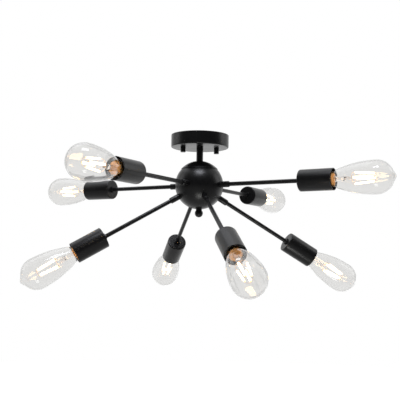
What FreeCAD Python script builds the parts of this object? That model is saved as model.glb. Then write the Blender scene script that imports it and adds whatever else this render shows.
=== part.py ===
import FreeCAD, Part
import math
import os

import Sketcher

# Semi-flush ceiling light with eight straight arms that radiate from a ball: four level arms and,
# turned by half a step, four arms that slope down. Each arm ends in a cup that holds a screw-base
# lamp. Millimetres. The origin is the centre of the ceiling plane and +Z is up.

Vector = FreeCAD.Vector
FULL_TURN = 360.0
ARMS_IN_TIER = 4
STRIPS_IN_LAMP = 4
HEXAGON = 6

DIMENSIONS = {
    # canopy, an upside-down pan against the ceiling
    "canopy_dia": 120.0,
    "canopy_height": 26.0,
    "canopy_wall": 1.2,
    "canopy_corner": 2.6,
    # crossbar under the outlet box, with the studs that carry the canopy
    "strap_end": 4.5,
    "strap_width": 24.0,
    "strap_thickness": 2.0,
    "strap_corner": 8.0,
    "box_screw_spacing": 88.9,
    "box_slot_length": 8.0,
    "box_slot_width": 4.8,
    "stud_spacing": 72.0,
    "stud_dia": 4.0,
    "stud_end_gap": 1.0,
    "stud_nut_band": 1.5,
    "stud_nut_height": 3.2,
    "cap_nut_dia": 10.6,
    "cap_nut_height": 11.0,
    "cap_nut_floor": 2.6,
    "cap_nut_chamfer": 0.8,
    "ground_screw_offset": 18.0,
    "ground_screw_head_dia": 7.6,
    "ground_screw_head_height": 2.4,
    "ground_screw_head_round": 1.3,
    # threaded centre tube that clamps canopy, sleeve, ball and finial together
    "tube_dia": 10.0,
    "tube_bore": 7.4,
    "tube_above_nut": 4.0,
    "tube_in_finial": 7.5,
    "wire_window_dia": 5.5,
    "sleeve_wall": 1.9,
    "washer_band": 4.0,
    "washer_thickness": 1.2,
    "nut_band": 2.1,
    "nut_height": 4.0,
    # ball: a deep shell closed by a dome that laps over its rim
    "ball_drop": 105.0,
    "ball_dia": 100.0,
    "ball_wall": 1.5,
    "seam_rise": 34.0,
    "lap": 3.2,
    "dome_wall": 0.9,
    "dome_flat_lip": 0.6,
    "finial_ball_dia": 17.0,
    "finial_neck_wall": 1.25,
    "finial_neck_height": 2.7,
    # arms and the couplings that seat them on the ball
    "upper_arm_angle": 0.0,
    "lower_arm_angle": -30.0,
    "arm_dia": 8.5,
    "arm_bore": 6.5,
    "arm_in_coupling": 13.0,
    "arm_in_cup": 9.0,
    "coupling_wall": 2.0,
    "coupling_reach": 70.0,
    "coupling_lip": 1.0,
    "coupling_chamfer": 0.9,
    "coupling_stub": 7.0,
    # cup with its lampholder
    "cup_reach": 224.0,
    "cup_dia": 42.4,
    "cup_length": 67.0,
    "cup_wall": 1.2,
    "cup_back": 1.6,
    "cup_corner": 2.4,
    "cup_nut_height": 3.0,
    "holder_gap": 1.0,
    "holder_recess": 5.0,
    "holder_depth": 22.5,
    "holder_floor": 5.0,
    "holder_neck_dia": 17.0,
    "holder_neck_length": 20.0,
    "shell_wall": 0.6,
    "shell_below_rim": 0.8,
    "shell_length": 19.0,
    "tab_dia": 9.0,
    "tab_height": 1.3,
    "tab_thickness": 0.7,
    # lamp with a 26 mm screw base and a teardrop bulb
    "bulb_dia": 64.0,
    "bulb_length": 143.0,
    "bulb_crown": 36.0,
    "bulb_waist": 29.0,
    "bulb_waist_dia": 33.6,
    "bulb_collar": 25.0,
    "bulb_neck": 17.0,
    "glass_wall": 0.9,
    "glass_tip_wall": 2.7,
    "nose_dia": 24.0,
    "nose_tip_dia": 10.0,
    "nose_tip_height": 2.0,
    "base_dia": 26.2,
    "base_wall": 0.4,
    "base_start": 6.4,
    "base_curl": 2.0,
    "skirt_start": 20.6,
    "skirt_flare": 0.9,
    "skirt_rise": 1.4,
    "base_end": 25.0,
    "contact_dia": 9.6,
    "contact_height": 2.0,
    "contact_crown": 0.6,
    # stem and light-giving strips inside the bulb
    "stem_dia": 9.0,
    "stem_foot": 18.5,
    "stem_waist": 30.0,
    "stem_top": 56.0,
    "press_width": 8.4,
    "press_thickness": 3.0,
    "press_height": 8.0,
    "strip_start": 64.0,
    "strip_end": 106.0,
    "strip_foot_radius": 11.0,
    "strip_head_radius": 7.2,
    "strip_width": 2.6,
    "strip_thickness": 1.2,
    "lead_wire_dia": 1.0,
    "ring_wire_dia": 1.0,
    # clearances
    "running_gap": 0.35,
    "thread_gap": 0.1,
    "contact_gap": 0.3,
    "seat_gap": 0.15,
}


class Size:
    """A length that carries its present value and the sheet expression that gives it."""

    def __init__(self, value, text):
        self.value = value
        self.text = text

    def __add__(self, other):
        other = as_size(other)
        return Size(self.value + other.value, f"({self.text} + {other.text})")

    def __sub__(self, other):
        other = as_size(other)
        return Size(self.value - other.value, f"({self.text} - {other.text})")

    def __mul__(self, other):
        other = as_size(other)
        return Size(self.value * other.value, f"{self.text} * {other.text}")

    def __truediv__(self, other):
        other = as_size(other)
        return Size(self.value / other.value, f"{self.text} / ({other.text})")

    def __neg__(self):
        return Size(-self.value, f"(0 - {self.text})")


def as_size(number):
    return number if isinstance(number, Size) else Size(float(number), f"{float(number):.9g}")


def root(size):
    return Size(math.sqrt(size.value), f"sqrt({size.text})")


def leg(hypotenuse, other_leg):
    """The second short side of a right triangle."""
    return root(hypotenuse * hypotenuse - other_leg * other_leg)


def dim(name):
    return Size(DIMENSIONS[name], f"Dims.{name}")


# ---------------------------------------------------------------- drawing helpers


def bind(owner, path, size):
    owner.setExpression(path, as_size(size).text)


def bow(start, end, radius, left):
    """Arc from start to end whose centre lies on the left or right of the chord, and its end numbers."""
    chord = Vector(end[0] - start[0], end[1] - start[1], 0)
    middle = Vector((start[0] + end[0]) / 2, (start[1] + end[1]) / 2, 0)
    rise = math.sqrt(max(radius**2 - chord.Length**2 / 4, 0))
    side = 1 if left else -1
    centre = middle + Vector(-chord.y, chord.x, 0) * (side * rise / chord.Length)
    first = math.atan2(start[1] - centre.y, start[0] - centre.x)
    last = math.atan2(end[1] - centre.y, end[0] - centre.x)
    if not left:
        first, last = last, first
    while last < first:
        last += 2 * math.pi
    arc = Part.ArcOfCircle(Part.Circle(centre, Vector(0, 0, 1), radius), first, last)
    return arc, (1, 2) if left else (2, 1)


def left_bow(radius):
    """The edge that leaves a corner turns left as it runs, on this radius."""
    return as_size(radius), True


def right_bow(radius):
    return as_size(radius), False


def draw_outline(sketch, corners):
    """Closed outline through (x, y) or (x, y, bow) corners, each coordinate tied to the sheet."""
    corners = [(as_size(c[0]), as_size(c[1]), c[2] if len(c) > 2 else None) for c in corners]
    edges = []
    for index, (x, y, edge_bow) in enumerate(corners):
        after = corners[(index + 1) % len(corners)]
        start = (x.value, y.value)
        end = (after[0].value, after[1].value)
        if edge_bow:
            curve, ends = bow(start, end, edge_bow[0].value, edge_bow[1])
        else:
            curve = Part.LineSegment(Vector(*start, 0), Vector(*end, 0))
            ends = (1, 2)
        edges.append((sketch.addGeometry(curve), *ends))
    for index, (edge, _, end) in enumerate(edges):
        following = edges[(index + 1) % len(edges)]
        sketch.addConstraint(Sketcher.Constraint("Coincident", edge, end, following[0], following[1]))
    for (x, y, edge_bow), (edge, start, _) in zip(corners, edges):
        for kind, size in (("DistanceX", x), ("DistanceY", y)):
            place = Sketcher.Constraint(kind, -1, 1, edge, start, size.value)
            bind(sketch, f"Constraints[{sketch.addConstraint(place)}]", size)
        if edge_bow:
            turn = Sketcher.Constraint("Radius", edge, edge_bow[0].value)
            bind(sketch, f"Constraints[{sketch.addConstraint(turn)}]", edge_bow[0])


def draw_circle(sketch, x, y, diameter):
    x, y, diameter = as_size(x), as_size(y), as_size(diameter)
    circle = Part.Circle(Vector(x.value, y.value, 0), Vector(0, 0, 1), diameter.value / 2)
    edge = sketch.addGeometry(circle)
    for kind, size in (("DistanceX", x), ("DistanceY", y)):
        place = Sketcher.Constraint(kind, -1, 1, edge, 3, size.value)
        bind(sketch, f"Constraints[{sketch.addConstraint(place)}]", size)
    width = Sketcher.Constraint("Diameter", edge, diameter.value)
    bind(sketch, f"Constraints[{sketch.addConstraint(width)}]", diameter)


def draw_slot(sketch, x, length, width):
    """Slot along X with round ends, centred on (x, 0)."""
    near = x - (length - width) / 2
    far = x + (length - width) / 2
    radius = width / 2
    half_pi = math.pi / 2
    caps = []
    for centre, first in ((near, half_pi), (far, -half_pi)):
        circle = Part.Circle(Vector(centre.value, 0, 0), Vector(0, 0, 1), radius.value)
        caps.append(sketch.addGeometry(Part.ArcOfCircle(circle, first, first + math.pi)))
    sides = []
    for y in (-radius.value, radius.value):
        side = Part.LineSegment(Vector(near.value, y, 0), Vector(far.value, y, 0))
        sides.append(sketch.addGeometry(side))
    lower, upper = sides
    sketch.addConstraint(Sketcher.Constraint("Tangent", caps[0], 2, lower, 1))
    sketch.addConstraint(Sketcher.Constraint("Tangent", lower, 2, caps[1], 1))
    sketch.addConstraint(Sketcher.Constraint("Tangent", caps[1], 2, upper, 2))
    sketch.addConstraint(Sketcher.Constraint("Tangent", upper, 1, caps[0], 1))
    sketch.addConstraint(Sketcher.Constraint("PointOnObject", caps[0], 3, -1))
    sketch.addConstraint(Sketcher.Constraint("PointOnObject", caps[1], 3, -1))
    for cap, centre in zip(caps, (near, far)):
        place = Sketcher.Constraint("DistanceX", -1, 1, cap, 3, centre.value)
        bind(sketch, f"Constraints[{sketch.addConstraint(place)}]", centre)
    turn = Sketcher.Constraint("Radius", caps[0], radius.value)
    bind(sketch, f"Constraints[{sketch.addConstraint(turn)}]", radius)


def origin_item(body, role):
    return next(item for item in body.Origin.OriginFeatures if item.Role == role)


def new_body(doc, label, placement=None):
    body = doc.addObject("PartDesign::Body", label)
    body.Label = label
    if placement:
        body.Placement = placement
    return body


def new_sketch(body, name, plane):
    sketch = body.newObject("Sketcher::SketchObject", f"{body.Name}_{name}")
    sketch.AttachmentSupport = [(origin_item(body, plane), "")]
    sketch.MapMode = "FlatFace"
    return sketch


def revolve(body, corners):
    """Turn an outline of (radius, height) corners about the body's own Z axis."""
    sketch = new_sketch(body, "profile", "XZ_Plane")
    draw_outline(sketch, corners)
    turned = body.newObject("PartDesign::Revolution", f"{body.Name}_turned")
    turned.Profile = sketch
    turned.ReferenceAxis = (sketch, ["V_Axis"])
    turned.Angle = FULL_TURN
    body.Tip = turned
    return body


def turned_body(doc, label, corners, placement=None):
    return revolve(new_body(doc, label, placement), corners)


def cut_through(body, sketch, name):
    """Cut the sketch's outlines through everything on both sides of its plane."""
    pocket = body.newObject("PartDesign::Pocket", f"{body.Name}_{name}")
    pocket.Profile = sketch
    pocket.Type = "ThroughAll"
    pocket.Midplane = True
    body.Tip = pocket
    return pocket


def group(doc, label, members):
    """One sub-part made of several separate solids."""
    compound = doc.addObject("Part::Compound", label)
    compound.Label = label
    compound.Links = members
    return compound


def hex_corner(thread_dia, band):
    """Distance from a hexagonal nut's axis to its corners, with this much metal beside the thread."""
    return (thread_dia / 2 + band) / math.cos(math.pi / HEXAGON)


def hex_nut(doc, label, thread_dia, band, height, placement):
    """Hexagonal nut whose lower face is at its placement."""
    block = doc.addObject("Part::Prism", f"{label}_block")
    block.Polygon = HEXAGON
    bind(block, "Circumradius", hex_corner(thread_dia, band))
    bind(block, "Height", height)
    hole = doc.addObject("Part::Cylinder", f"{label}_hole")
    bind(hole, "Radius", thread_dia / 2 + dim("thread_gap"))
    bind(hole, "Height", height)
    nut = doc.addObject("Part::Cut", label)
    nut.Base = block
    nut.Tool = hole
    nut.Placement = placement
    return nut


def ring(doc, label, inner_dia, outer_dia, height, placement):
    """Flat ring whose lower face is at its placement."""
    disc = doc.addObject("Part::Cylinder", f"{label}_disc")
    bind(disc, "Radius", outer_dia / 2)
    bind(disc, "Height", height)
    hole = doc.addObject("Part::Cylinder", f"{label}_hole")
    bind(hole, "Radius", inner_dia / 2)
    bind(hole, "Height", height)
    washer = doc.addObject("Part::Cut", label)
    washer.Base = disc
    washer.Tool = hole
    washer.Placement = placement
    return washer


# ---------------------------------------------------------------- shared places

BALL_RADIUS = dim("ball_dia") / 2
COUPLING_DIA = dim("arm_dia") + dim("coupling_wall") * 2
STUB_DIA = COUPLING_DIA - dim("coupling_lip") * 2
TUBE_HOLE_DIA = dim("tube_dia") + dim("thread_gap") * 2
SLEEVE_DIA = TUBE_HOLE_DIA + dim("sleeve_wall") * 2
DOME_RADIUS = BALL_RADIUS + dim("seat_gap") + dim("dome_wall")
DOME_FLAT_RADIUS = SLEEVE_DIA / 2 + dim("dome_flat_lip")
DOME_TOP = leg(DOME_RADIUS, DOME_FLAT_RADIUS)
MOUTH = dim("cup_reach") + dim("cup_length")
HOLDER_RIM = MOUTH - dim("holder_recess")
HOLDER_FLOOR = HOLDER_RIM - dim("holder_depth")
BULB_FOOT = HOLDER_FLOOR + dim("tab_height") + dim("contact_gap")
SHELL_BORE_RADIUS = dim("base_dia") / 2 + dim("running_gap")
SHELL_RADIUS = SHELL_BORE_RADIUS + dim("shell_wall")
NECK_RADIUS = dim("base_dia") / 2 - dim("base_wall") * 2


def shifted(x, y, z):
    """Placement moved by x, y and z without a turn."""
    return FreeCAD.Placement(Vector(x, y, z), FreeCAD.Rotation())


BALL_CENTRE = Vector(0, 0, -DIMENSIONS["ball_drop"])


def arm_directions():
    """Azimuth and elevation of each arm, lamp 1 to 8, counterclockwise from +X seen from above."""
    step = FULL_TURN / (2 * ARMS_IN_TIER)
    directions = []
    for number in range(2 * ARMS_IN_TIER):
        tier = "lower_arm_angle" if number % 2 == 0 else "upper_arm_angle"
        directions.append((number * step, DIMENSIONS[tier]))
    return directions


def arm_frame(azimuth, elevation):
    """Placement at the ball's centre whose Z axis runs out along an arm."""
    level = math.cos(math.radians(elevation))
    out = Vector(
        level * math.cos(math.radians(azimuth)),
        level * math.sin(math.radians(azimuth)),
        math.sin(math.radians(elevation)),
    )
    return FreeCAD.Placement(BALL_CENTRE, FreeCAD.Rotation(Vector(0, 0, 1), out))


def along(frame, distance):
    """The frame moved out along its own Z axis."""
    return frame * shifted(0, 0, distance.value)


# ---------------------------------------------------------------- canopy and its fixings


def make_canopy(doc):
    """Pan with a rolled lower corner, open towards the ceiling."""
    rim = dim("canopy_dia") / 2
    inside = rim - dim("canopy_wall")
    floor = -dim("canopy_height")
    corner = dim("canopy_corner")
    inner_corner = corner - dim("canopy_wall")
    hole = TUBE_HOLE_DIA / 2
    body = turned_body(
        doc,
        "canopy",
        [
            (hole, floor),
            (rim - corner, floor, left_bow(corner)),
            (rim, floor + corner),
            (rim, 0),
            (inside, 0),
            (inside, floor + corner, right_bow(inner_corner)),
            (rim - corner, floor + dim("canopy_wall")),
            (hole, floor + dim("canopy_wall")),
        ],
    )
    holes = new_sketch(body, "stud_holes", "XY_Plane")
    hole_dia = dim("stud_dia") + dim("running_gap") * 2
    draw_circle(holes, dim("stud_spacing") / 2, 0, hole_dia)
    draw_circle(holes, -dim("stud_spacing") / 2, 0, hole_dia)
    cut_through(body, holes, "stud_hole_cut")
    return body


def make_crossbar(doc):
    """Flat strap with slots for the outlet box's screws and tapped holes for the canopy's studs."""
    body = new_body(doc, "crossbar")
    half_length = (dim("box_screw_spacing") + dim("box_slot_length")) / 2 + dim("strap_end")
    half_width = dim("strap_width") / 2
    corner = dim("strap_corner")
    outline = new_sketch(body, "outline", "XY_Plane")
    draw_outline(
        outline,
        [
            (corner - half_length, -half_width),
            (half_length - corner, -half_width, left_bow(corner)),
            (half_length, corner - half_width),
            (half_length, half_width - corner, left_bow(corner)),
            (half_length - corner, half_width),
            (corner - half_length, half_width, left_bow(corner)),
            (-half_length, half_width - corner),
            (-half_length, corner - half_width, left_bow(corner)),
        ],
    )
    strap = body.newObject("PartDesign::Pad", "crossbar_strap")
    strap.Profile = outline
    strap.Reversed = True
    bind(strap, "Length", dim("strap_thickness"))
    body.Tip = strap
    holes = new_sketch(body, "holes", "XY_Plane")
    tapped = dim("stud_dia") + dim("thread_gap") * 2
    draw_circle(holes, 0, 0, TUBE_HOLE_DIA)
    draw_circle(holes, dim("stud_spacing") / 2, 0, tapped)
    draw_circle(holes, -dim("stud_spacing") / 2, 0, tapped)
    draw_circle(holes, dim("ground_screw_offset"), 0, tapped)
    for side in (1, -1):
        centre = dim("box_screw_spacing") * (side / 2)
        draw_slot(holes, centre, dim("box_slot_length"), dim("box_slot_width"))
    cut_through(body, holes, "hole_cut")
    return body


def make_studs_and_nuts(doc, frames):
    """All steel fixings: canopy studs, earth screw, and every lock nut and washer."""
    pieces = []
    band = dim("nut_band")
    height = dim("nut_height")
    stud_nut_height = dim("stud_nut_height")
    under_strap = -(dim("strap_thickness") + stud_nut_height).value
    for side, name in ((1, "right"), (-1, "left")):
        x = side * DIMENSIONS["stud_spacing"] / 2
        stud = doc.addObject("Part::Cylinder", f"canopy_stud_{name}")
        bind(stud, "Radius", dim("stud_dia") / 2)
        pocket_end = dim("canopy_height") + dim("cap_nut_height") - dim("cap_nut_floor")
        length = pocket_end - dim("stud_end_gap")
        bind(stud, "Height", length)
        stud.Placement = shifted(x, 0, -length.value)
        pieces.append(stud)
        place = shifted(x, 0, under_strap)
        nut_name = f"stud_nut_{name}"
        pieces.append(
            hex_nut(doc, nut_name, dim("stud_dia"), dim("stud_nut_band"), stud_nut_height, place)
        )
    pieces.append(make_ground_screw(doc))
    floor = -dim("canopy_height") + dim("canopy_wall")
    washer_dia = dim("tube_dia") + band * 2 + dim("washer_band")
    washer_place = shifted(0, 0, floor.value)
    thickness = dim("washer_thickness")
    pieces.append(ring(doc, "tube_washer", TUBE_HOLE_DIA, washer_dia, thickness, washer_place))
    nut_place = shifted(0, 0, (floor + thickness).value)
    pieces.append(hex_nut(doc, "tube_nut", dim("tube_dia"), band, height, nut_place))
    nut_seat = leg(BALL_RADIUS - dim("ball_wall"), hex_corner(STUB_DIA, band)) - dim("seat_gap")
    cup_nut_height = dim("cup_nut_height")
    cup_nut_start = dim("cup_reach") - cup_nut_height
    for number, frame in enumerate(frames, start=1):
        inside = along(frame, nut_seat - height)
        pieces.append(hex_nut(doc, f"coupling_nut_{number}", STUB_DIA, band, height, inside))
        behind = along(frame, cup_nut_start)
        pieces.append(
            hex_nut(doc, f"cup_nut_{number}", dim("arm_dia"), band, cup_nut_height, behind)
        )
    return group(doc, "studs_and_nuts", pieces)


def make_ground_screw(doc):
    """Pan-head earth screw that stands in the crossbar, its head below."""
    shank = dim("stud_dia") / 2
    head = dim("ground_screw_head_dia") / 2
    under = -dim("strap_thickness")
    low = under - dim("ground_screw_head_height")
    dome = dim("ground_screw_head_round")
    return turned_body(
        doc,
        "ground_screw",
        [
            (0, 0),
            (0, low),
            (head - dome, low, left_bow(dome)),
            (head, low + dome),
            (head, under),
            (shank, under),
            (shank, 0),
        ],
        shifted(DIMENSIONS["ground_screw_offset"], 0, 0),
    )


def make_cap_nuts(doc):
    """Closed cylinder nuts that draw the canopy up on its studs."""
    radius = dim("cap_nut_dia") / 2
    bore = dim("stud_dia") / 2 + dim("thread_gap")
    top = -dim("canopy_height")
    low = top - dim("cap_nut_height")
    chamfer = dim("cap_nut_chamfer")
    nuts = []
    for side, name in ((1, "right"), (-1, "left")):
        nuts.append(
            turned_body(
                doc,
                f"cap_nut_{name}",
                [
                    (0, low),
                    (radius - chamfer, low, left_bow(chamfer)),
                    (radius, low + chamfer),
                    (radius, top),
                    (bore, top),
                    (bore, low + dim("cap_nut_floor")),
                    (0, low + dim("cap_nut_floor")),
                ],
                shifted(side * DIMENSIONS["stud_spacing"] / 2, 0, 0),
            )
        )
    return group(doc, "cap_nuts", nuts)


# ---------------------------------------------------------------- stem and ball

AT_BALL = FreeCAD.Placement(BALL_CENTRE, FreeCAD.Rotation())
SLEEVE_TOP = dim("ball_drop") - dim("canopy_height")
FINIAL_SEAT = leg(BALL_RADIUS, dim("tube_dia") / 2 + dim("finial_neck_wall"))


def make_stem_sleeve(doc):
    """Plain tube that shows between the canopy and the ball."""
    return turned_body(
        doc,
        "stem_sleeve",
        [
            (TUBE_HOLE_DIA / 2, DOME_TOP),
            (SLEEVE_DIA / 2, DOME_TOP),
            (SLEEVE_DIA / 2, SLEEVE_TOP),
            (TUBE_HOLE_DIA / 2, SLEEVE_TOP),
        ],
        AT_BALL,
    )


def make_centre_tube(doc):
    """Hollow threaded tube from the canopy's nut to the finial, with a window for the leads."""
    top = (
        SLEEVE_TOP
        + dim("canopy_wall")
        + dim("washer_thickness")
        + dim("nut_height")
        + dim("tube_above_nut")
    )
    bottom = -FINIAL_SEAT - dim("tube_in_finial")
    body = turned_body(
        doc,
        "centre_tube",
        [
            (dim("tube_bore") / 2, bottom),
            (dim("tube_dia") / 2, bottom),
            (dim("tube_dia") / 2, top),
            (dim("tube_bore") / 2, top),
        ],
        AT_BALL,
    )
    window = new_sketch(body, "wire_window", "XZ_Plane")
    draw_circle(window, 0, dim("seam_rise") / 2, dim("wire_window_dia"))
    cut_through(body, window, "wire_window_cut")
    return body


def make_ball_shell(doc, frames):
    """Deep spun shell, open at the top, with a hole for each arm and one for the tube."""
    inner = BALL_RADIUS - dim("ball_wall")
    rim = dim("seam_rise") + dim("lap")
    hole = TUBE_HOLE_DIA / 2
    body = turned_body(
        doc,
        "ball_shell",
        [
            (hole, -leg(BALL_RADIUS, hole), left_bow(BALL_RADIUS)),
            (leg(BALL_RADIUS, rim), rim),
            (leg(inner, rim), rim, right_bow(inner)),
            (hole, -leg(inner, hole)),
        ],
        AT_BALL,
    )
    for number, tier in ((0, "lower"), (1, "upper")):
        drill = body.newObject("PartDesign::SubtractiveCylinder", f"{tier}_arm_hole")
        bind(drill, "Radius", STUB_DIA / 2 + dim("seat_gap"))
        bind(drill, "Height", dim("coupling_reach"))
        drill.AttachmentSupport = [(origin_item(body, "XY_Plane"), "")]
        drill.MapMode = "FlatFace"
        drill.AttachmentOffset = FreeCAD.Placement(Vector(), frames[number].Rotation)
        pattern = body.newObject("PartDesign::PolarPattern", f"{tier}_arm_holes")
        pattern.Originals = [drill]
        pattern.Axis = (origin_item(body, "Z_Axis"), [""])
        pattern.Angle = FULL_TURN
        pattern.Occurrences = ARMS_IN_TIER
        body.Tip = pattern
    return body


def make_ball_cap(doc):
    """Dome that laps over the shell's rim, flattened at the top for the sleeve."""
    inner = DOME_RADIUS - dim("dome_wall")
    hole = TUBE_HOLE_DIA / 2
    low = dim("seam_rise")
    under = DOME_TOP - dim("dome_wall")
    return turned_body(
        doc,
        "ball_cap",
        [
            (leg(inner, low), low),
            (leg(DOME_RADIUS, low), low, left_bow(DOME_RADIUS)),
            (DOME_FLAT_RADIUS, DOME_TOP),
            (hole, DOME_TOP),
            (hole, under),
            (leg(inner, under), under, right_bow(inner)),
        ],
        AT_BALL,
    )


def make_finial(doc):
    """Small ball nut that closes the tube below the ball."""
    radius = dim("finial_ball_dia") / 2
    neck = dim("tube_dia") / 2 + dim("finial_neck_wall")
    top = -FINIAL_SEAT
    bore = TUBE_HOLE_DIA / 2
    bore_end = top - dim("tube_in_finial") - dim("seat_gap")
    shoulder = top - dim("finial_neck_height")
    centre = shoulder - leg(radius, neck)
    return turned_body(
        doc,
        "finial",
        [
            (0, centre - radius, left_bow(radius)),
            (radius, centre, left_bow(radius)),
            (neck, shoulder),
            (neck, top, right_bow(BALL_RADIUS)),
            (bore, -leg(BALL_RADIUS, bore)),
            (bore, bore_end),
            (0, bore_end),
        ],
        AT_BALL,
    )


# ---------------------------------------------------------------- arms, cups and lampholders


def make_arm_couplings(doc, frames):
    """Turned sockets seated on the ball; each stub passes the shell and takes a nut inside."""
    radius = COUPLING_DIA / 2
    stub = STUB_DIA / 2
    bore = dim("arm_bore") / 2
    socket = dim("arm_dia") / 2 + dim("thread_gap")
    end = dim("coupling_reach")
    chamfer = dim("coupling_chamfer")
    socket_floor = end - dim("arm_in_coupling")
    stub_start = BALL_RADIUS - dim("coupling_stub")
    seat = BALL_RADIUS
    couplings = []
    for number, frame in enumerate(frames, start=1):
        couplings.append(
            turned_body(
                doc,
                f"arm_coupling_{number}",
                [
                    (bore, stub_start),
                    (stub, stub_start),
                    (stub, leg(seat, stub), right_bow(seat)),
                    (radius, leg(seat, radius)),
                    (radius, end - chamfer),
                    (radius - chamfer, end),
                    (socket, end),
                    (socket, socket_floor),
                    (bore, socket_floor),
                ],
                frame,
            )
        )
    return group(doc, "arm_couplings", couplings)


def make_arm(doc, number, frame):
    """Straight tube from the coupling's socket through the cup's back."""
    start = dim("coupling_reach") - dim("arm_in_coupling")
    end = dim("cup_reach") + dim("arm_in_cup")
    return turned_body(
        doc,
        f"arm_{number}",
        [
            (dim("arm_bore") / 2, start),
            (dim("arm_dia") / 2, start),
            (dim("arm_dia") / 2, end),
            (dim("arm_bore") / 2, end),
        ],
        frame,
    )


def make_cup(doc, number, frame):
    """Straight-sided cup with a small rolled back corner, open at the lamp's end."""
    radius = dim("cup_dia") / 2
    inside = radius - dim("cup_wall")
    back = dim("cup_reach")
    floor = back + dim("cup_back")
    corner = dim("cup_corner")
    inner_corner = corner - dim("cup_wall")
    hole = dim("arm_dia") / 2 + dim("thread_gap")
    return turned_body(
        doc,
        f"cup_{number}",
        [
            (hole, back),
            (radius - corner, back, left_bow(corner)),
            (radius, back + corner),
            (radius, MOUTH),
            (inside, MOUTH),
            (inside, floor + inner_corner, right_bow(inner_corner)),
            (inside - inner_corner, floor),
            (hole, floor),
        ],
        frame,
    )


def make_lampholder_bodies(doc, frames):
    """Moulded holder: a neck on the arm's end, a shoulder, and the barrel round the screw shell."""
    neck = dim("holder_neck_dia") / 2
    barrel = dim("cup_dia") / 2 - dim("cup_wall") - dim("holder_gap")
    bore = SHELL_RADIUS + dim("thread_gap")
    start = dim("cup_reach") + dim("cup_back")
    neck_end = start + dim("holder_neck_length")
    floor_under = HOLDER_FLOOR - dim("holder_floor")
    arm_hole = dim("arm_dia") / 2 + dim("thread_gap")
    arm_end = dim("cup_reach") + dim("arm_in_cup")
    lead_hole = dim("arm_bore") / 2
    bodies = []
    for number, frame in enumerate(frames, start=1):
        bodies.append(
            turned_body(
                doc,
                f"lampholder_body_{number}",
                [
                    (arm_hole, start),
                    (neck, start),
                    (neck, neck_end),
                    (barrel, floor_under),
                    (barrel, HOLDER_RIM),
                    (bore, HOLDER_RIM),
                    (bore, HOLDER_FLOOR),
                    (0, HOLDER_FLOOR),
                    (0, floor_under),
                    (lead_hole, floor_under),
                    (lead_hole, arm_end),
                    (arm_hole, arm_end),
                ],
                frame,
            )
        )
    return group(doc, "lampholder_bodies", bodies)


def make_lampholder_contacts(doc, frames):
    """Brass screw shell and sprung centre tab of each lampholder."""
    shell_top = HOLDER_RIM - dim("shell_below_rim")
    shell_low = shell_top - dim("shell_length")
    tab_radius = dim("tab_dia") / 2
    tab_top = HOLDER_FLOOR + dim("tab_height")
    thickness = dim("tab_thickness")
    pieces = []
    for number, frame in enumerate(frames, start=1):
        shell = turned_body(
            doc,
            f"screw_shell_{number}",
            [
                (SHELL_BORE_RADIUS, shell_low),
                (SHELL_RADIUS, shell_low),
                (SHELL_RADIUS, shell_top),
                (SHELL_BORE_RADIUS, shell_top),
            ],
            frame,
        )
        tab = turned_body(
            doc,
            f"centre_tab_{number}",
            [
                (0, tab_top - thickness),
                (tab_radius / 2, tab_top - thickness),
                (tab_radius - thickness, HOLDER_FLOOR),
                (tab_radius, HOLDER_FLOOR),
                (tab_radius, HOLDER_FLOOR + thickness / 2),
                (tab_radius / 2, tab_top),
                (0, tab_top),
            ],
            frame,
        )
        pieces += [shell, tab]
    return group(doc, "lampholder_contacts", pieces)


# ---------------------------------------------------------------- lamps


def at_bulb(name):
    """A height measured from the lamp's contact, as a distance from the ball's centre."""
    return BULB_FOOT + dim(name)


def make_bulb_contact(doc, number, frame):
    """Solder button at the lamp's foot."""
    radius = dim("contact_dia") / 2
    foot = BULB_FOOT
    crown = dim("contact_crown")
    top = at_bulb("contact_height")
    return turned_body(
        doc,
        f"bulb_{number}_contact",
        [
            (0, foot),
            (radius - crown * 2, foot),
            (radius, foot + crown),
            (radius, top),
            (0, top),
        ],
        frame,
    )


def make_bulb_base(doc, number, frame):
    """Screw cap with its flared skirt, and the insulator between cap and contact."""
    outer = dim("base_dia") / 2
    inner = outer - dim("base_wall")
    flare = dim("skirt_flare")
    start = at_bulb("base_start")
    curl = dim("base_curl")
    skirt = at_bulb("skirt_start")
    end = at_bulb("base_end")
    wall = dim("base_wall")
    cap = turned_body(
        doc,
        f"screw_cap_{number}",
        [
            (inner - curl, start),
            (outer - curl, start, left_bow(curl)),
            (outer, start + curl),
            (outer, skirt),
            (outer + flare, skirt + dim("skirt_rise")),
            (outer + flare, end),
            (inner + flare, end),
            (inner + flare, skirt + dim("skirt_rise")),
            (inner, skirt),
            (inner, start + curl + wall),
            (inner - curl, start + wall),
        ],
        frame,
    )
    ring_top = inner - curl - dim("seat_gap")
    button = dim("contact_dia") / 2
    low = at_bulb("contact_height")
    insulator = turned_body(
        doc,
        f"insulator_{number}",
        [
            (0, low),
            (button, low),
            (ring_top, start),
            (ring_top, start + wall),
            (0, start + wall),
        ],
        frame,
    )
    return group(doc, f"bulb_{number}_base", [cap, insulator])


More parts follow.
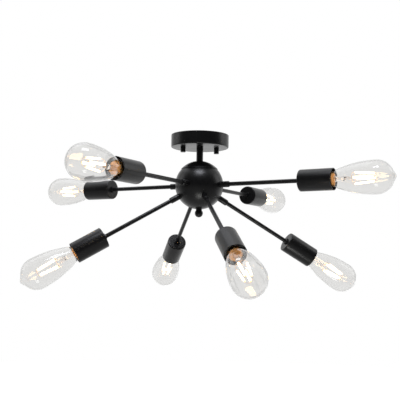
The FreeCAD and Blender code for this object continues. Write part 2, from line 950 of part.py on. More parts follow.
def make_bulb_glass(doc, number, frame):
    """Blown teardrop: neck, waist, long bowed side, round crown and a blunt nose."""
    belly = dim("bulb_dia") / 2
    waist = dim("bulb_waist_dia") / 2
    wall = dim("glass_wall")
    tip = at_bulb("bulb_length")
    belly_at = tip - dim("bulb_crown")
    waist_at = at_bulb("bulb_waist")
    run = belly_at - waist_at
    swell = belly - waist
    side = (run * run + swell * swell) / (swell * 2)
    inner_side = side - wall
    inner_waist = belly - side + leg(inner_side, run)
    neck = NECK_RADIUS
    collar = at_bulb("bulb_collar")
    neck_at = at_bulb("bulb_neck")
    nose = dim("nose_dia") / 2
    nose_tip = dim("nose_tip_dia") / 2
    nose_rise = dim("nose_tip_height")
    tip_radius = (nose_tip * nose_tip + nose_rise * nose_rise) / (nose_rise * 2)
    crown = belly - wall
    inner_nose = nose - wall
    inner_tip = tip - dim("glass_tip_wall")
    return turned_body(
        doc,
        f"bulb_{number}_glass",
        [
            (neck - wall, neck_at),
            (neck, neck_at),
            (neck, collar - wall * 2),
            (neck + wall, collar),
            (waist, waist_at, left_bow(side)),
            (belly, belly_at, left_bow(belly)),
            (nose, belly_at + leg(belly, nose)),
            (nose_tip, tip - nose_rise, left_bow(tip_radius)),
            (0, tip),
            (0, inner_tip),
            (nose_tip / 2, inner_tip),
            (inner_nose, belly_at + leg(crown, inner_nose), right_bow(crown)),
            (crown, belly_at, right_bow(inner_side)),
            (inner_waist, waist_at),
            (neck, collar),
            (neck - wall, collar - wall),
        ],
        frame,
    )


def wire(doc, label, start, end, diameter):
    """Round wire between two points given as vectors."""
    rod = doc.addObject("Part::Cylinder", label)
    bind(rod, "Radius", diameter / 2)
    rod.Height = (end - start).Length
    rod.Placement = FreeCAD.Placement(start, FreeCAD.Rotation(Vector(0, 0, 1), end - start))
    return rod


def make_bulb_filament(doc, number, frame):
    """Glass stem with its press, lead wires, two wire rings and the leaning light-giving strips."""
    stem_radius = dim("stem_dia") / 2
    flare_radius = NECK_RADIUS - dim("glass_wall") - dim("seat_gap")
    foot = at_bulb("stem_foot")
    waist = at_bulb("stem_waist")
    top = at_bulb("stem_top")
    lip = dim("glass_wall")
    press_start = top - dim("press_height")
    tube = turned_body(
        doc,
        f"stem_tube_{number}",
        [
            (0, foot),
            (flare_radius, foot),
            (flare_radius, foot + lip),
            (stem_radius, waist),
            (stem_radius, press_start),
            (0, press_start),
        ],
        frame,
    )
    press_width = dim("press_width")
    press_thickness = dim("press_thickness")
    press_root = press_start - press_thickness
    press = doc.addObject("Part::Box", f"stem_press_{number}")
    bind(press, "Length", press_width)
    bind(press, "Width", press_thickness)
    bind(press, "Height", top - press_root)
    press_corner = (-press_width.value / 2, -press_thickness.value / 2, press_root.value)
    press.Placement = frame * shifted(*press_corner)
    stem = doc.addObject("Part::Fuse", f"stem_{number}")
    stem.Base = tube
    stem.Tool = press
    pieces = [stem]
    low = at_bulb("strip_start").value
    high = at_bulb("strip_end").value
    foot_radius = DIMENSIONS["strip_foot_radius"]
    head_radius = DIMENSIONS["strip_head_radius"]
    width = dim("strip_width")
    thickness = dim("strip_thickness")
    wire_dia = dim("ring_wire_dia")
    for name, radius, height in (("foot", foot_radius, low), ("head", head_radius, high)):
        hoop = doc.addObject("Part::Torus", f"{name}_ring_{number}")
        hoop.Radius1 = radius
        bind(hoop, "Radius2", wire_dia / 2)
        hoop.Placement = frame * shifted(0, 0, height)
        pieces.append(hoop)
    inset = wire_dia.value / 2
    for index in range(STRIPS_IN_LAMP):
        turn = math.radians(FULL_TURN * (index + 0.5) / STRIPS_IN_LAMP)
        sideways = Vector(math.cos(turn), math.sin(turn), 0)
        start = sideways * foot_radius + Vector(0, 0, low + inset)
        end = sideways * head_radius + Vector(0, 0, high - inset)
        strip = doc.addObject("Part::Box", f"strip_{number}_{index + 1}")
        bind(strip, "Length", thickness)
        bind(strip, "Width", width)
        strip.Height = (end - start).Length
        lean = FreeCAD.Rotation(sideways, Vector(-sideways.y, sideways.x, 0), end - start, "ZYX")
        corner = shifted(-thickness.value / 2, -width.value / 2, 0)
        centred = FreeCAD.Placement(start, lean) * corner
        strip.Placement = frame * centred
        pieces.append(strip)
    press_top = Vector(0, 0, top.value - DIMENSIONS["press_height"] / 2)
    lead = dim("lead_wire_dia")
    for side in (1, -1):
        reach = Vector(side * (foot_radius - inset), 0, low)
        rod = wire(doc, f"lead_wire_{number}_{'a' if side > 0 else 'b'}", press_top, reach, lead)
        rod.Placement = frame * rod.Placement
        pieces.append(rod)
    return group(doc, f"bulb_{number}_filament", pieces)


# ---------------------------------------------------------------- document


def make_sheet(doc):
    sheet = doc.addObject("Spreadsheet::Sheet", "Dims")
    for row, (alias, value) in enumerate(DIMENSIONS.items(), start=1):
        sheet.set(f"B{row}", f"{value:g}")
        sheet.setAlias(f"B{row}", alias)
    doc.recompute()
    return sheet


def build(doc):
    """Every sub-part in the order in which the light is put together."""
    frames = [arm_frame(azimuth, elevation) for azimuth, elevation in arm_directions()]
    nodes = [
        make_crossbar(doc),
        make_canopy(doc),
        make_cap_nuts(doc),
        make_studs_and_nuts(doc, frames),
        make_stem_sleeve(doc),
        make_centre_tube(doc),
        make_ball_cap(doc),
        make_ball_shell(doc, frames),
        make_finial(doc),
        make_arm_couplings(doc, frames),
        make_lampholder_bodies(doc, frames),
        make_lampholder_contacts(doc, frames),
    ]
    for number, frame in enumerate(frames, start=1):
        nodes += [
            make_arm(doc, number, frame),
            make_cup(doc, number, frame),
            make_bulb_contact(doc, number, frame),
            make_bulb_base(doc, number, frame),
            make_bulb_glass(doc, number, frame),
            make_bulb_filament(doc, number, frame),
        ]
    doc.recompute()
    return nodes


def check(doc, nodes):
    """Stop before anything is written if a feature failed or a sub-part is not a sound solid."""
    for item in doc.Objects:
        if "Invalid" in item.State or "Error" in item.State:
            raise RuntimeError(f"{item.Name} failed: {item.State}")
    for node in nodes:
        shape = node.Shape
        if shape.isNull() or not shape.isValid() or not shape.Solids:
            raise RuntimeError(f"{node.Label} is not a sound solid")


def main():
    doc = FreeCAD.newDocument("ceiling_light")
    make_sheet(doc)
    nodes = build(doc)
    check(doc, nodes)
    os.makedirs("parts", exist_ok=True)
    for node in nodes:
        node.Shape.exportStep(f"parts/{node.Label}.step")
    print(f"{len(nodes)} sub-parts, {sum(len(node.Shape.Solids) for node in nodes)} solids")


main()
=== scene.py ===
"""Looks of the sputnik chandelier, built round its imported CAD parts.

A profile's points are a radius and a height in millimetres. About the vertical, heights start from the
ceiling or from the ball's centre. Along an arm they are distances from the ball's centre.
"""

import math

import bmesh
import bpy
from mathutils import Matrix, Vector


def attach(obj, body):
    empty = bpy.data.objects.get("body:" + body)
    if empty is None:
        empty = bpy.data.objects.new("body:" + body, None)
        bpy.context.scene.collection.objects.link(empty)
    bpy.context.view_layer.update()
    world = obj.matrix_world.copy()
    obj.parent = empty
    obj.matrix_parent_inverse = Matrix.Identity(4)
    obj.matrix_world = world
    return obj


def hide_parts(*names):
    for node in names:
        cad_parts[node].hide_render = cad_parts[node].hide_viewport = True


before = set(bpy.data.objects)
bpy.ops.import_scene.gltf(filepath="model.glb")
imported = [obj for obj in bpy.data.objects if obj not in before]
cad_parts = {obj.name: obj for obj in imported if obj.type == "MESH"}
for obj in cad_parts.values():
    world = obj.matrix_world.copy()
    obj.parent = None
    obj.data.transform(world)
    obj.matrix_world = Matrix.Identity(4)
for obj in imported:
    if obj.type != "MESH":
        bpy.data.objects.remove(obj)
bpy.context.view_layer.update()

MM = 0.001
OWN_SPACE = "own_space"  # point attribute: where a point lay before its piece was put in its place

# ---------------------------------------------------------------- sizes that several pieces share

LAMPS = range(1, 9)
ARM_STEP = 45  # degrees from arm to arm, seen from above
ARM_DROOP = 30  # degrees that every other arm slopes down

BURR = 0.2  # how far a sharp edge is broken
CANOPY_FLOOR = -26.0
CANOPY_WALL = 1.2
STUDS = {"left": -36.0, "right": 36.0}
STUD_HOLE = 2.1
EARTH_SCREW_AT = 18.0
STRAP_THICKNESS = 2.0
TUBE_HOLE = 5.1  # clears the centre tube

BALL_DROP = 105.0
BALL_CENTRE = Vector((0, 0, -BALL_DROP * MM))
BALL_RADIUS = 50.0

ARM_BORE = 3.25
ARM_RADIUS = 4.25
ARM_HOLE = 4.35  # clears an arm
ARM_START = 57.0
ARM_END = 233.0
STUB_RADIUS = 5.25  # of the coupling's end inside the ball
STUB_END = 43.0
CUP_BACK = 224.0
CUP_FLOOR = 225.6

THREAD_PITCH = 3.6286  # of the lamps: seven turns to the inch
CAP_END = 271.9  # where the brass cap stops and its insulator starts
INSULATOR_FOOT = 267.1
WAIST_RADIUS = 16.8
WAIST_AT = 294.1
BELLY_RADIUS = 31.97
BELLY_AT = 372.0
GLASS_TIP = 408.05
GLASS_WALL = 0.8
STRIP_FOOT = 329.1
STRIP_TOP = 371.1
STRIP_LENGTH = STRIP_TOP - STRIP_FOOT
STRIP_FOOT_SPREAD = 11.0  # the strips' distance from the lamp's axis
STRIP_TOP_SPREAD = 7.2

# ---------------------------------------------------------------- node trees


def add(tree, kind, inputs=None, **settings):
    """A node with its settings and inputs; an input is a number, a colour or another node's socket."""
    made = tree.nodes.new("ShaderNode" + kind)
    for key, value in settings.items():
        setattr(made, key, value)
    for key, value in (inputs or {}).items():
        if isinstance(value, bpy.types.NodeSocket):
            tree.links.new(value, made.inputs[key])
        else:
            made.inputs[key].default_value = value
    return made


def own_place(tree):
    """Where the shaded point lay before its piece was put in its place."""
    return add(tree, "Attribute", attribute_name=OWN_SPACE).outputs["Vector"]


def noise(tree, scale, detail=2.0, stretch=(1, 1, 1)):
    """Noise in the piece's own space, scale per metre, finer along an axis that stretch favours."""
    placed = add(tree, "Mapping", {"Vector": own_place(tree), "Scale": stretch}).outputs["Vector"]
    return add(tree, "TexNoise", {"Vector": placed, "Scale": scale, "Detail": detail}).outputs["Fac"]


def between(tree, fac, low, high, start=0.3, end=0.7):
    """fac from start to end, as a number from low to high."""
    inputs = {"Value": fac, "From Min": start, "From Max": end, "To Min": low, "To Max": high}
    return add(tree, "MapRange", inputs, interpolation_type="SMOOTHSTEP").outputs["Result"]


def blend(tree, fac, first, second):
    """A number from first to second."""
    return add(tree, "Mix", {0: fac, 2: first, 3: second}).outputs[0]


def blend_colour(tree, fac, first, second):
    """A colour from first to second; each is three numbers or a socket."""
    inputs = {0: fac}
    for index, colour in ((6, first), (7, second)):
        inputs[index] = colour if isinstance(colour, bpy.types.NodeSocket) else (*colour, 1)
    return add(tree, "Mix", inputs, data_type="RGBA").outputs[2]


def mottled(tree, pattern, first, second):
    """A colour that follows a noise."""
    return blend_colour(tree, between(tree, pattern, 0, 1), first, second)


def maths(tree, operation, *values):
    return add(tree, "Math", dict(enumerate(values)), operation=operation).outputs[0]


def bumped(tree, height, strength, distance):
    """Relief from a pattern, its distance in metres."""
    inputs = {"Height": height, "Strength": strength, "Distance": distance}
    return add(tree, "Bump", inputs).outputs["Normal"]


def along(tree, vector, direction):
    """How far a vector reaches in a direction."""
    return add(tree, "VectorMath", {0: vector, 1: direction}, operation="DOT_PRODUCT").outputs["Value"]


def plainly_seen(tree, path):
    """1 where the camera looks at a surface directly or through glass."""
    return maths(tree, "MAXIMUM", path["Is Camera Ray"], path["Is Transmission Ray"])


def new_material(name, constants):
    """A material whose Principled shader already holds its constants."""
    material = bpy.data.materials.new(name)
    material.use_nodes = True
    shader = material.node_tree.nodes["Principled BSDF"]
    for key, value in constants.items():
        shader.inputs[key].default_value = value
    return material, material.node_tree, shader


def feed(tree, shader, **sockets):
    """Sockets into the shader's inputs, whose names have spaces where these have underscores."""
    for key, socket in sockets.items():
        tree.links.new(socket, shader.inputs[key.replace("_", " ")])


# ---------------------------------------------------------------- materials


def make_powder_coat():
    """Satin black powder coat: orange peel with fine grain, and a little cloudiness."""
    material, tree, shader = new_material("black_powder_coat", {"Specular IOR Level": 0.5})
    peel = noise(tree, scale=420, detail=3.0)
    grain = noise(tree, scale=2600, detail=1.0)
    cloud = noise(tree, scale=22, detail=3.0)
    colour = mottled(tree, cloud, (0.0030, 0.0029, 0.0034), (0.0058, 0.0056, 0.0059))
    rough = between(tree, maths(tree, "ADD", peel, grain), 0.27, 0.37, start=0.7, end=1.3)
    relief = maths(tree, "MULTIPLY_ADD", grain, 0.35, peel)
    normal = bumped(tree, relief, strength=0.22, distance=0.0003)
    feed(tree, shader, Base_Color=colour, Roughness=rough, Normal=normal)
    return material


def make_moulding():
    """Black phenolic moulding with faint flow marks."""
    material, tree, shader = new_material("black_moulding", {"Specular IOR Level": 0.4})
    flow = noise(tree, scale=90, detail=4.0, stretch=(1, 1, 0.25))
    speck = noise(tree, scale=1800, detail=1.0)
    colour = mottled(tree, flow, (0.008, 0.008, 0.008), (0.017, 0.015, 0.013))
    rough = between(tree, flow, 0.3, 0.46)
    normal = bumped(tree, speck, strength=0.1, distance=0.0002)
    feed(tree, shader, Base_Color=colour, Roughness=rough, Normal=normal)
    return material


def make_brass(name, bright, dull, rough_low, rough_high):
    """Thin drawn brass: rings left by forming, dulled in patches."""
    material, tree, shader = new_material(name, {"Metallic": 1.0})
    rings = noise(tree, scale=60, detail=3.0, stretch=(1, 1, 28))
    patches = noise(tree, scale=140, detail=4.0)
    colour = mottled(tree, patches, bright, dull)
    rough = between(tree, maths(tree, "ADD", rings, patches), rough_low, rough_high, start=0.7, end=1.3)
    normal = bumped(tree, rings, strength=0.2, distance=0.00015)
    feed(tree, shader, Base_Color=colour, Roughness=rough, Normal=normal)
    return material


def make_zinc():
    """Zinc-plated steel with a cool and a straw tint in patches."""
    material, tree, shader = new_material("zinc_plate", {"Metallic": 1.0})
    spangle = noise(tree, scale=170, detail=3.0)
    scratch = noise(tree, scale=240, detail=3.0, stretch=(1, 12, 1))
    colour = mottled(tree, spangle, (0.60, 0.62, 0.66), (0.66, 0.63, 0.54))
    rough = between(tree, scratch, 0.28, 0.48)
    normal = bumped(tree, scratch, strength=0.12, distance=0.0002)
    feed(tree, shader, Base_Color=colour, Roughness=rough, Normal=normal)
    return material


def make_threaded_zinc():
    """Zinc-plated steel with a fine thread all along it, for a CAD solid that stands on the vertical axis."""
    material, tree, shader = new_material("zinc_thread", {"Metallic": 1.0})
    crest_each_mm = 314.0
    spot = add(tree, "TexCoord").outputs["Object"]
    inputs = {"Vector": spot, "Scale": crest_each_mm, "Distortion": 0.0}
    thread = add(tree, "TexWave", inputs, bands_direction="Z")
    spangle = noise(tree, scale=170, detail=3.0)
    colour = mottled(tree, spangle, (0.55, 0.57, 0.60), (0.62, 0.60, 0.53))
    rough = between(tree, spangle, 0.3, 0.42)
    normal = bumped(tree, thread.outputs["Fac"], strength=0.8, distance=0.0004)
    feed(tree, shader, Base_Color=colour, Roughness=rough, Normal=normal)
    return material


def make_solder():
    material, tree, shader = new_material("solder", {"Metallic": 1.0})
    lumps = noise(tree, scale=500, detail=3.0)
    colour = mottled(tree, lumps, (0.42, 0.42, 0.43), (0.62, 0.62, 0.62))
    rough = between(tree, lumps, 0.3, 0.5)
    normal = bumped(tree, lumps, strength=0.5, distance=0.0006)
    feed(tree, shader, Base_Color=colour, Roughness=rough, Normal=normal)
    return material


def make_wire():
    """Nickel wire, its colour a painted warm glow of the strips' light."""
    material, tree, shader = new_material("nickel_wire_painted_glow", {"Metallic": 0.35})
    drawn = noise(tree, scale=900)
    # These warm colours are painted light: the strips' warm glow on grey nickel.
    colour = mottled(tree, drawn, (0.88, 0.60, 0.42), (0.96, 0.74, 0.56))
    feed(tree, shader, Base_Color=colour, Roughness=between(tree, drawn, 0.45, 0.6))
    return material


def make_cement():
    """Tan basing cement that holds the glass in its cap."""
    material, tree, shader = new_material("basing_cement", {"Roughness": 0.7})
    lumps = noise(tree, scale=400, detail=4.0)
    colour = mottled(tree, lumps, (0.74, 0.31, 0.077), (0.88, 0.45, 0.15))
    feed(tree, shader, Base_Color=colour, Normal=bumped(tree, lumps, strength=0.5, distance=0.0005))
    return material


def make_insulator():
    """Black glass fused into the cap's end."""
    material, tree, shader = new_material("vitreous_black", {"Coat Weight": 0.4})
    swirl = noise(tree, scale=260, detail=4.0)
    colour = mottled(tree, swirl, (0.006, 0.006, 0.009), (0.02, 0.018, 0.022))
    rough = between(tree, swirl, 0.12, 0.3)
    normal = bumped(tree, swirl, strength=0.2, distance=0.0004)
    feed(tree, shader, Base_Color=colour, Roughness=rough, Normal=normal)
    return material


def make_glass(name, tint, edge_tint, waviness):
    """Blown glass: slightly uneven, faintly streaked and darker edge on. Shadow rays pass it unbent."""
    constants = {"Transmission Weight": 1.0, "IOR": 1.46, "Roughness": 0.0}
    material, tree, shader = new_material(name, constants)
    streaks = noise(tree, scale=26, stretch=(1, 1, 0.4))
    waves = noise(tree, scale=45, detail=1.0, stretch=(1, 1, 0.6))
    graze = add(tree, "LayerWeight", {"Blend": 0.5}).outputs["Facing"]
    edge_on = between(tree, graze, 0, 0.93, start=0.45, end=0.95)
    depth = maths(tree, "MULTIPLY_ADD", between(tree, streaks, 0, 1), 0.07, edge_on)
    colour = blend_colour(tree, depth, tint, edge_tint)
    feed(tree, shader, Base_Color=colour, Normal=bumped(tree, waves, waviness, distance=0.0015))
    clear = add(tree, "BsdfTransparent", {"Color": (*tint, 1)})
    shadow = add(tree, "LightPath").outputs["Is Shadow Ray"]
    both = add(tree, "MixShader", {0: shadow, 1: shader.outputs[0], 2: clear.outputs[0]})
    tree.links.new(both.outputs[0], tree.nodes["Material Output"].inputs["Surface"])
    return material


def make_strip():
    """Lit phosphor coat, mottled where the coat is thin, and dimmer towards both ends of a strip."""
    dim, bright = 1.1, 7.5
    dark_end, full_light = 1.1, 5.4  # mm from a strip's end
    constants = {"Emission Color": (1.0, 0.70, 0.40, 1), "Roughness": 0.6}
    material, tree, shader = new_material("lit_phosphor", constants)
    mottle = noise(tree, scale=1500)
    colour = mottled(tree, mottle, (0.90, 0.56, 0.12), (0.96, 0.72, 0.26))
    height = add(tree, "SeparateXYZ", {0: own_place(tree)}).outputs["Z"]
    rise_ends = [(STRIP_FOOT + inset) * MM for inset in (dark_end, full_light)]
    fall_ends = [(STRIP_TOP - inset) * MM for inset in (full_light, dark_end)]
    glow = maths(
        tree,
        "MINIMUM",
        between(tree, height, dim, bright, *rise_ends),
        between(tree, height, bright, dim, *fall_ends),
    )
    normal = bumped(tree, mottle, strength=0.3, distance=0.0002)
    feed(tree, shader, Base_Color=colour, Normal=normal, Emission_Strength=glow)
    return material


# A finish is a material and the slot that it fills.
COAT = make_powder_coat(), "black_coat"
MOULDING = make_moulding(), "holder_moulding"
CAP_BRASS = make_brass("cap_brass", (0.80, 0.52, 0.22), (0.58, 0.36, 0.14), 0.16, 0.34), "bulb_cap_brass"
HOLDER_BRASS = make_brass("holder_brass", (0.74, 0.54, 0.26), (0.52, 0.36, 0.16), 0.24, 0.42), "holder_brass"
ZINC = make_zinc(), "zinc_steel"
ZINC_THREAD = make_threaded_zinc()
SOLDER = make_solder(), "bulb_solder"
WIRE = make_wire(), "bulb_filament"
INSULATOR = make_insulator(), "bulb_cap_brass"
CEMENT = make_cement(), "bulb_cap_brass"
GLASS = make_glass("blown_glass", (0.878, 0.876, 0.869), (0.60, 0.597, 0.590), 0.01), "bulb_glass"
# The stem glass's warm tint and warm edge tint are painted light: a warm glow of the strips.
STEM_GLASS = make_glass("pressed_glass", (1.0, 0.975, 0.955), (0.90, 0.86, 0.83), 0.1), "bulb_glass"
STRIP = make_strip(), "bulb_filament"

# ---------------------------------------------------------------- lines


def heading(azimuth, elevation):
    """Unit vector from two angles in degrees, azimuth counterclockwise from +X."""
    turn = math.radians(azimuth)
    rise = math.radians(elevation)
    return Vector((math.cos(rise) * math.cos(turn), math.cos(rise) * math.sin(turn), math.sin(rise)))


def leg(longest, other):
    """The second leg of a right triangle."""
    return math.sqrt(longest**2 - other**2)


def arc(radius, centre, low, high, steps):
    """Points on a circle round (0, centre), where low and high are angles above the level in degrees."""
    turns = [math.radians(low + (high - low) * step / steps) for step in range(steps + 1)]
    return [(radius * math.cos(t), centre + radius * math.sin(t)) for t in turns]


def angle_at_height(radius, height):
    return math.degrees(math.asin(height / radius))


def angle_at_reach(radius, reach):
    return math.degrees(math.acos(reach / radius))


def bend(start, corner, end, steps):
    """Points on a curve that leaves start and reaches end along the lines to the corner."""
    points = []
    for step in range(steps + 1):
        t = step / steps
        points.append(tuple(start * (1 - t) ** 2 + corner * 2 * t * (1 - t) + end * t**2))
    return points


def eased(corners, steps=5):
    """(radius, height) points whose corners with a third number are rounded off, that far from the corner."""
    points = []
    for index, corner in enumerate(corners):
        here = Vector(corner[:2])
        if len(corner) < 3:
            points.append(tuple(here))
            continue
        before = Vector(corners[index - 1][:2])
        after = Vector(corners[(index + 1) % len(corners)][:2])
        start = here + (before - here).normalized() * corner[2]
        end = here + (after - here).normalized() * corner[2]
        points += bend(start, here, end, steps)
    return points


def threaded(radius, low, high, depth, pitch, per_turn=8):
    """Points along a thread, with its depth, which fades in and out over three quarters of a turn."""
    count = max(2, round((high - low) / pitch * per_turn))
    points = []
    for step in range(count + 1):
        height = low + (high - low) * step / count
        fade = min(1, min(height - low, high - height) / (pitch * 0.75))
        points.append((radius, height, depth * fade))
    return points


def smooth_path(points, steps=6):
    """A curve through points, by the Catmull-Rom rule."""
    ends = [points[0], *points, points[-1]]
    path = []
    for a, b, c, d in zip(ends, ends[1:], ends[2:], ends[3:]):
        for step in range(steps):
            t = step / steps
            square = (2 * a - 5 * b + 4 * c - d) * t**2
            cube = (3 * b - a - 3 * c + d) * t**3
            path.append(0.5 * (2 * b + (c - a) * t + square + cube))
    path.append(points[-1])
    return path


def ring_path(radius, height, steps=48):
    turns = [math.tau * step / steps for step in range(steps)]
    return [Vector((radius * math.cos(turn), radius * math.sin(turn), height)) for turn in turns]


def rounded_box(centre, half_length, half_width, radius, steps=8):
    """Outline of a rounded rectangle whose centre is on the X axis."""
    points = []
    for quarter, sx, sy in ((0, 1, 1), (90, -1, 1), (180, -1, -1), (270, 1, -1)):
        for step in range(steps + 1):
            angle = math.radians(quarter + step * 90 / steps)
            x = centre + sx * (half_length - radius) + radius * math.cos(angle)
            points.append((x, sy * (half_width - radius) + radius * math.sin(angle)))
    return points


# ---------------------------------------------------------------- meshes


def finished(name, made, sharp=38):
    """The mesh, smooth but for edges sharper than that angle in degrees."""
    mesh = bpy.data.meshes.new(name)
    made.to_mesh(mesh)
    made.free()
    mesh.shade_smooth()
    mesh.set_sharp_from_angle(angle=math.radians(sharp))
    return mesh


def across(flats, turn):
    """Distance from a hexagon's centre to its side, in a direction given in turns."""
    sixth = (turn * 6 + 0.5) % 1 - 0.5
    return flats / 2 / math.cos(sixth * math.tau / 6)


def bridged(made, low, high):
    """Faces between two rings of points, either of which may be a single point."""
    around = max(len(low), len(high))
    if around == 1:
        return
    for step in range(around):
        after = (step + 1) % around
        if len(low) == 1:
            made.faces.new((low[0], high[after], high[step]))
        elif len(high) == 1:
            made.faces.new((low[step], low[after], high[0]))
        else:
            made.faces.new((low[step], low[after], high[after], high[step]))


def turned(name, profile, around=64, pitch=1.0, flats=None, sharp=38):
    """A mesh turned about Z from a closed profile. A point's third number is the depth of a thread there."""
    on_axis = 1e-6
    made = bmesh.new()
    rings = []
    for radius, height, *depth in profile:
        if radius < on_axis:
            rings.append([made.verts.new((0, 0, height * MM))])
            continue
        ring = []
        for step in range(around):
            turn = step / around
            reach = radius if flats is None else min(radius, across(flats, turn))
            if depth:
                reach -= depth[0] * (1 - math.cos(math.tau * (height / pitch - turn))) / 2
            x = reach * MM * math.cos(math.tau * turn)
            y = reach * MM * math.sin(math.tau * turn)
            ring.append(made.verts.new((x, y, height * MM)))
        rings.append(ring)
    for low, high in zip(rings, rings[1:] + rings[:1]):
        bridged(made, low, high)
    bmesh.ops.recalc_face_normals(made, faces=made.faces)
    return finished(name, made, sharp)


def hex_nut_mesh(name, bore, flats, low, height):
    """A chamfered hexagon nut about Z."""
    corner = flats / math.sqrt(3)
    bevel = (corner - flats / 2) * 0.6
    profile = [
        (bore, low),
        (flats / 2, low),
        (corner, low + bevel),
        (corner, low + height - bevel),
        (flats / 2, low + height),
        (bore, low + height),
    ]
    return turned(name, profile, around=48, flats=flats, sharp=20)


def wire_mesh(name, points, radius, closed=False, around=10):
    """A round wire along points."""
    made = bmesh.new()
    rings = []
    side = None
    for index, point in enumerate(points):
        if closed:
            run = points[(index + 1) % len(points)] - points[index - 1]
        else:
            run = points[min(index + 1, len(points) - 1)] - points[max(index - 1, 0)]
        run.normalize()
        if side is None:
            side = run.orthogonal().normalized()
        side = (side - run * side.dot(run)).normalized()
        other = run.cross(side)
        ring = []
        for step in range(around):
            turn = math.tau * step / around
            out = side * math.cos(turn) + other * math.sin(turn)
            ring.append(made.verts.new((point + out * radius) * MM))
        rings.append(ring)
    for low, high in zip(rings, rings[1:] + rings[:1] if closed else rings[1:]):
        bridged(made, low, high)
    if not closed:
        made.faces.new(rings[0])
        made.faces.new(rings[-1])
    bmesh.ops.recalc_face_normals(made, faces=made.faces)
    return finished(name, made, sharp=60)


def plate_mesh(name, outlines, thickness, broken):
    """A flat plate about z = 0 from its outline and its holes' outlines, with its edges broken."""
    curve = bpy.data.curves.new(name, "CURVE")
    curve.dimensions = "2D"
    curve.fill_mode = "BOTH"
    curve.extrude = (thickness / 2 - broken) * MM
    curve.bevel_depth = broken * MM
    curve.bevel_resolution = 1
    curve.offset = -broken * MM
    for outline in outlines:
        spline = curve.splines.new("POLY")
        spline.points.add(len(outline) - 1)
        for point, (x, y) in zip(spline.points, outline):
            point.co = (x * MM, y * MM, 0, 1)
        spline.use_cyclic_u = True
    flat = bpy.data.objects.new(name, curve)
    bpy.context.scene.collection.objects.link(flat)
    bpy.context.view_layer.update()
    mesh = bpy.data.meshes.new_from_object(flat.evaluated_get(bpy.context.evaluated_depsgraph_get()))
    bpy.data.objects.remove(flat)
    bpy.data.curves.remove(curve)
    mesh.name = name
    mesh.materials.clear()
    return mesh


def joined(name, parts):
    """One mesh of several, each with the matrix that places it."""
    made = bmesh.new()
    for mesh, matrix in parts:
        copy = mesh.copy()
        copy.transform(matrix)
        made.from_mesh(copy)
        bpy.data.meshes.remove(copy)
    return finished(name, made)


def place(name, mesh, matrix, body, finish, *nodes):
    """A piece in its place on its body, standing for those CAD nodes. Its material keeps its own space."""
    material, slot = finish
    mesh = mesh.copy()
    mesh.name = name
    own = mesh.attributes.new(OWN_SPACE, "FLOAT_VECTOR", "POINT")
    for point, vertex in zip(own.data, mesh.vertices):
        point.vector = vertex.co
    mesh.transform(matrix)
    mesh.materials.append(material)
    piece = bpy.data.objects.new(name, mesh)
    bpy.context.scene.collection.objects.link(piece)
    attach(piece, body)
    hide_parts(*nodes)


AT_CEILING = Matrix.Identity(4)
AT_BALL = Matrix.Translation(BALL_CENTRE)


def beside_axis(x):
    """Matrix at the ceiling, x mm from the vertical axis."""
    return Matrix.Translation((x * MM, 0, 0))


def lamp_frame(number):
    """Matrix at the ball's centre whose Z axis runs out along that lamp's arm."""
    out = heading(ARM_STEP * (number - 1), -ARM_DROOP if number % 2 else 0)
    turn = Vector((0, 0, 1)).rotation_difference(out)
    return AT_BALL @ turn.to_matrix().to_4x4()


# ---------------------------------------------------------------- canopy, stem and ball


def build_canopy():
    radius = 60.0
    inner_radius = radius - CANOPY_WALL
    inside = CANOPY_FLOOR + CANOPY_WALL
    bore = 5.2
    rim = 0.35
    pan = [
        (bore, CANOPY_FLOOR, BURR),
        (radius, CANOPY_FLOOR, 2.6),
        (radius, 0, rim),
        (inner_radius, 0, rim),
        (inner_radius, inside, 1.6),
        (bore, inside, BURR),
    ]
    pan_mesh = turned("canopy_pan", eased(pan), around=128)
    place("canopy_pan", pan_mesh, AT_CEILING, "root", COAT, "canopy")


def build_cap_nuts():
    cap_foot = CANOPY_FLOOR - 11
    hole_end = CANOPY_FLOOR - 8.4
    cap_radius = 5.3
    cap = [
        (0, cap_foot),
        (cap_radius, cap_foot, 0.9),
        (cap_radius, CANOPY_FLOOR, 0.25),
        (STUD_HOLE, CANOPY_FLOOR),
        (STUD_HOLE, hole_end),
        (0, hole_end),
    ]
    cap_mesh = turned("cap_nut", eased(cap), around=48)
    for side, x in STUDS.items():
        place(f"cap_nut_{side}", cap_mesh, beside_axis(x), "root", COAT, "cap_nuts")


def build_crossbar():
    """Strap with rounded ends, two slots for the outlet box, and holes for tube, studs and earth screw."""
    slots_at = 44.45
    slot_half_length = 4
    slot_half_width = 2.4
    outlines = [rounded_box(0, half_length=52.95, half_width=12, radius=8)]
    # Corner radii stop a hair short of the half width, so that no two points fall together.
    for x in (-slots_at, slots_at):
        outlines.append(rounded_box(x, slot_half_length, slot_half_width, slot_half_width - 0.001))
    for x, radius in [(0, TUBE_HOLE), *((x, STUD_HOLE) for x in (*STUDS.values(), EARTH_SCREW_AT))]:
        outlines.append(rounded_box(x, radius, radius, radius * 0.999))
    strap = plate_mesh("crossbar_strap", outlines, STRAP_THICKNESS, broken=0.25)
    at = Matrix.Translation((0, 0, -STRAP_THICKNESS / 2 * MM))
    place("crossbar_strap", strap, at, "root", ZINC, "crossbar")


def build_studs():
    """Studs and their lock nuts, which the canopy hides from below."""
    pitch = 0.7
    radius = 2.0
    end = -33.4
    thread = threaded(radius, -12, -0.4, depth=0.35, pitch=pitch, per_turn=6)
    stud = [(0, 0), (1.6, 0), *thread[::-1], (radius, end), (0, end)]
    stud_mesh = turned("stud", stud, around=20, pitch=pitch)
    nut_height = 3.2
    nut = hex_nut_mesh("stud_nut", STUD_HOLE, flats=7.0, low=-STRAP_THICKNESS - nut_height, height=nut_height)
    for side, x in STUDS.items():
        place(f"stud_{side}", stud_mesh, beside_axis(x), "root", ZINC, "studs_and_nuts")
        place(f"stud_nut_{side}", nut, beside_axis(x), "root", ZINC, "studs_and_nuts")


